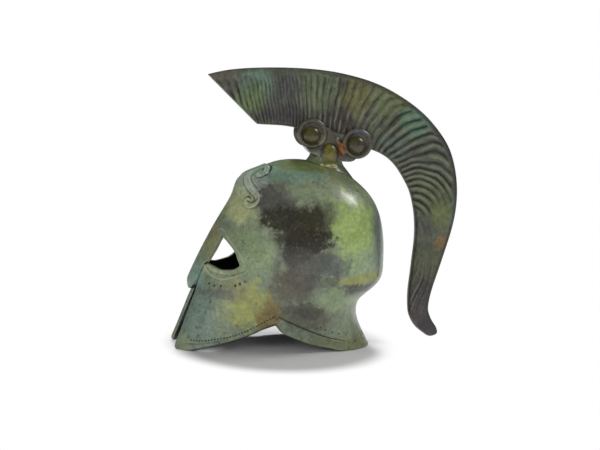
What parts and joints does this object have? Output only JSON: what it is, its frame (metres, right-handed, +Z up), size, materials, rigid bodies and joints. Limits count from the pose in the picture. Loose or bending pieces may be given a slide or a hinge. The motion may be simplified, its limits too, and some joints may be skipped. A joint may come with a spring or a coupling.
{
  "type": "corinthian helmet with crest",
  "caption": "Small cast bronze Corinthian helmet with nose guard, cheek guards, neck guard and a tall curved horsehair crest on a scroll holder.",
  "frame": {"origin": "middle of the bounding box, on the surface that the helmet stands on", "axes": "+Z up, -Y where the helmet faces, +X the wearer's left"},
  "size_m": [0.1026, 0.2008, 0.1929],
  "materials": {
    "shell": "cast bronze with a mottled green, olive and black patina, waxed",
    "holder": "cast bronze with a dark olive patina, waxed",
    "crest": "cast bronze, dark in the grooves and grey-green on the ribs, waxed",
    "boss": "smooth olive gold bronze, polished",
    "rivet": "plain dark bronze"
  },
  "bodies": {
    "root": {"helmet_shell": "shell", "crest_holder": "holder", "crest_plume": "crest", "front_boss_rivet": "boss", "rear_boss_rivet": "boss", "crest_rivet": "rivet"}
  },
  "joints": []
}
